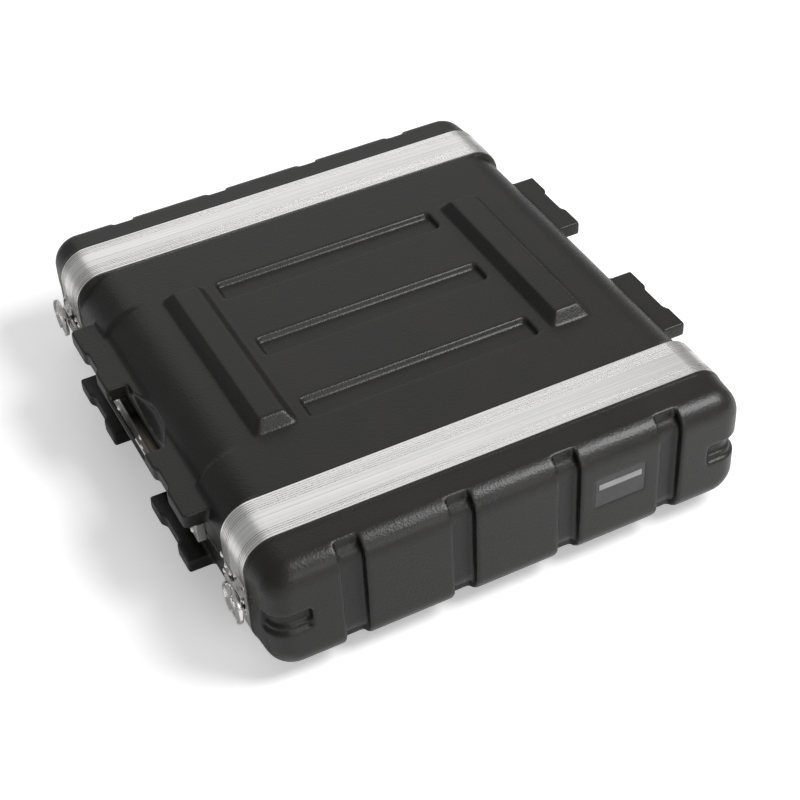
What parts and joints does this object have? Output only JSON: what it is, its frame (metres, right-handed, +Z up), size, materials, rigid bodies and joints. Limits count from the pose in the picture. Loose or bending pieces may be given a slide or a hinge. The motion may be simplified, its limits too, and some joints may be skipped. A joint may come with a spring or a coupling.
{
  "type": "equipment rack case",
  "caption": "Shallow two-ended carrying case for rack equipment: moulded body, ribbed aluminium frames, two lift-off lids held by twist latches, side grip.",
  "frame": {"origin": "bottom centre of the case, on the resting plane under the lower stacking bars", "axes": "+Z up, -Y towards the front lid, +X to the right seen from the front; the upper grip is on the -X side"},
  "size_m": [0.566, 0.6004, 0.1604],
  "materials": {
    "moulded_plastic": "fine pebble grain, semi-matt",
    "satin_aluminium": "satin, fine lengthwise ribs",
    "seal_rubber": "matt",
    "black_steel": "semi-gloss black coat",
    "label_plastic": "smooth, blank",
    "bright_steel": "bright plated"
  },
  "bodies": {
    "case": {"body_frame_front": "satin_aluminium", "body_frame_rear": "satin_aluminium", "joint_strip_left": "satin_aluminium", "joint_strip_right": "satin_aluminium", "keeper_front_left": "bright_steel", "keeper_front_right": "bright_steel", "keeper_rear_left": "bright_steel", "keeper_rear_right": "bright_steel", "keeper_rivets": "bright_steel", "lower_shell": "moulded_plastic", "rack_rail_front_left": "black_steel", "rack_rail_front_right": "black_steel", "rack_rail_rear_left": "black_steel", "rack_rail_rear_right": "black_steel", "rail_rivets": "bright_steel", "strip_rivets": "bright_steel", "upper_shell": "moulded_plastic"},
    "front_lid": {"label_plate": "label_plastic", "latch_front_left_base": "bright_steel", "latch_front_right_base": "bright_steel", "latch_rivets_front": "bright_steel", "lid_frame_front": "satin_aluminium", "lid_seal_front": "seal_rubber", "lid_shell_front": "moulded_plastic"},
    "rear_lid": {"latch_rear_left_base": "bright_steel", "latch_rear_right_base": "bright_steel", "latch_rivets_rear": "bright_steel", "lid_frame_rear": "satin_aluminium", "lid_seal_rear": "seal_rubber", "lid_shell_rear": "moulded_plastic"},
    "latch_front_left_hook_body": {"latch_front_left_hook": "bright_steel"},
    "latch_front_left_rotor_body": {"latch_front_left_rotor": "bright_steel"},
    "latch_front_left_wing_body_body": {"latch_front_left_wing_body": "bright_steel"},
    "latch_front_left_wing_lid_body": {"latch_front_left_wing_lid": "bright_steel"},
    "latch_front_right_hook_body": {"latch_front_right_hook": "bright_steel"},
    "latch_front_right_rotor_body": {"latch_front_right_rotor": "bright_steel"},
    "latch_front_right_wing_body_body": {"latch_front_right_wing_body": "bright_steel"},
    "latch_front_right_wing_lid_body": {"latch_front_right_wing_lid": "bright_steel"},
    "latch_rear_left_hook_body": {"latch_rear_left_hook": "bright_steel"},
    "latch_rear_left_rotor_body": {"latch_rear_left_rotor": "bright_steel"},
    "latch_rear_left_wing_body_body": {"latch_rear_left_wing_body": "bright_steel"},
    "latch_rear_left_wing_lid_body": {"latch_rear_left_wing_lid": "bright_steel"},
    "latch_rear_right_hook_body": {"latch_rear_right_hook": "bright_steel"},
    "latch_rear_right_rotor_body": {"latch_rear_right_rotor": "bright_steel"},
    "latch_rear_right_wing_body_body": {"latch_rear_right_wing_body": "bright_steel"},
    "latch_rear_right_wing_lid_body": {"latch_rear_right_wing_lid": "bright_steel"}
  },
  "joints": [
    {"name": "front_lid_lift_off", "type": "slide", "parent": "case", "child": "front_lid", "axis": [0, -1, 0], "range_m": [0, 0.15]},
    {"name": "latch_front_left_twist", "type": "hinge", "parent": "front_lid", "child": "latch_front_left_rotor_body", "pos_m": [-0.26, -0.243, 0.075], "axis": [-1, 0, 0], "range_deg": [0, 180]},
    {"name": "latch_front_left_hook_slide", "type": "slide", "parent": "front_lid", "child": "latch_front_left_hook_body", "axis": [0, 1, 0], "range_m": [0, 0.006]},
    {"name": "latch_front_left_wing_lid_fold", "type": "hinge", "parent": "latch_front_left_rotor_body", "child": "latch_front_left_wing_lid_body", "pos_m": [-0.2699, -0.2453, 0.075], "axis": [0, 0, -1], "range_deg": [0, 80]},
    {"name": "latch_front_left_wing_body_fold", "type": "hinge", "parent": "latch_front_left_rotor_body", "child": "latch_front_left_wing_body_body", "pos_m": [-0.2699, -0.2407, 0.075], "axis": [0, 0, 1], "range_deg": [0, 80]},
    {"name": "latch_front_right_twist", "type": "hinge", "parent": "front_lid", "child": "latch_front_right_rotor_body", "pos_m": [0.26, -0.243, 0.075], "axis": [1, 0, 0], "range_deg": [0, 180]},
    {"name": "latch_front_right_hook_slide", "type": "slide", "parent": "front_lid", "child": "latch_front_right_hook_body", "axis": [0, 1, 0], "range_m": [0, 0.006]},
    {"name": "latch_front_right_wing_lid_fold", "type": "hinge", "parent": "latch_front_right_rotor_body", "child": "latch_front_right_wing_lid_body", "pos_m": [0.2699, -0.2453, 0.075], "axis": [0, 0, 1], "range_deg": [0, 80]},
    {"name": "latch_front_right_wing_body_fold", "type": "hinge", "parent": "latch_front_right_rotor_body", "child": "latch_front_right_wing_body_body", "pos_m": [0.2699, -0.2407, 0.075], "axis": [0, 0, -1], "range_deg": [0, 80]},
    {"name": "rear_lid_lift_off", "type": "slide", "parent": "case", "child": "rear_lid", "axis": [0, 1, 0], "range_m": [0, 0.15]},
    {"name": "latch_rear_left_twist", "type": "hinge", "parent": "rear_lid", "child": "latch_rear_left_rotor_body", "pos_m": [-0.26, 0.243, 0.075], "axis": [-1, 0, 0], "range_deg": [0, 180]},
    {"name": "latch_rear_left_hook_slide", "type": "slide", "parent": "rear_lid", "child": "latch_rear_left_hook_body", "axis": [0, -1, 0], "range_m": [0, 0.006]},
    {"name": "latch_rear_left_wing_lid_fold", "type": "hinge", "parent": "latch_rear_left_rotor_body", "child": "latch_rear_left_wing_lid_body", "pos_m": [-0.2699, 0.2453, 0.075], "axis": [0, 0, 1], "range_deg": [0, 80]},
    {"name": "latch_rear_left_wing_body_fold", "type": "hinge", "parent": "latch_rear_left_rotor_body", "child": "latch_rear_left_wing_body_body", "pos_m": [-0.2699, 0.2407, 0.075], "axis": [0, 0, -1], "range_deg": [0, 80]},
    {"name": "latch_rear_right_twist", "type": "hinge", "parent": "rear_lid", "child": "latch_rear_right_rotor_body", "pos_m": [0.26, 0.243, 0.075], "axis": [1, 0, 0], "range_deg": [0, 180]},
    {"name": "latch_rear_right_hook_slide", "type": "slide", "parent": "rear_lid", "child": "latch_rear_right_hook_body", "axis": [0, -1, 0], "range_m": [0, 0.006]},
    {"name": "latch_rear_right_wing_lid_fold", "type": "hinge", "parent": "latch_rear_right_rotor_body", "child": "latch_rear_right_wing_lid_body", "pos_m": [0.2699, 0.2453, 0.075], "axis": [0, 0, -1], "range_deg": [0, 80]},
    {"name": "latch_rear_right_wing_body_fold", "type": "hinge", "parent": "latch_rear_right_rotor_body", "child": "latch_rear_right_wing_body_body", "pos_m": [0.2699, 0.2407, 0.075], "axis": [0, 0, 1], "range_deg": [0, 80]}
  ],
  "couplings": [
    {"joint": "latch_front_left_hook_slide", "follows": "latch_front_left_twist", "m_per_rad": 0.0019099},
    {"joint": "latch_front_right_hook_slide", "follows": "latch_front_right_twist", "m_per_rad": 0.0019099},
    {"joint": "latch_rear_left_hook_slide", "follows": "latch_rear_left_twist", "m_per_rad": 0.0019099},
    {"joint": "latch_rear_right_hook_slide", "follows": "latch_rear_right_twist", "m_per_rad": 0.0019099}
  ]
}
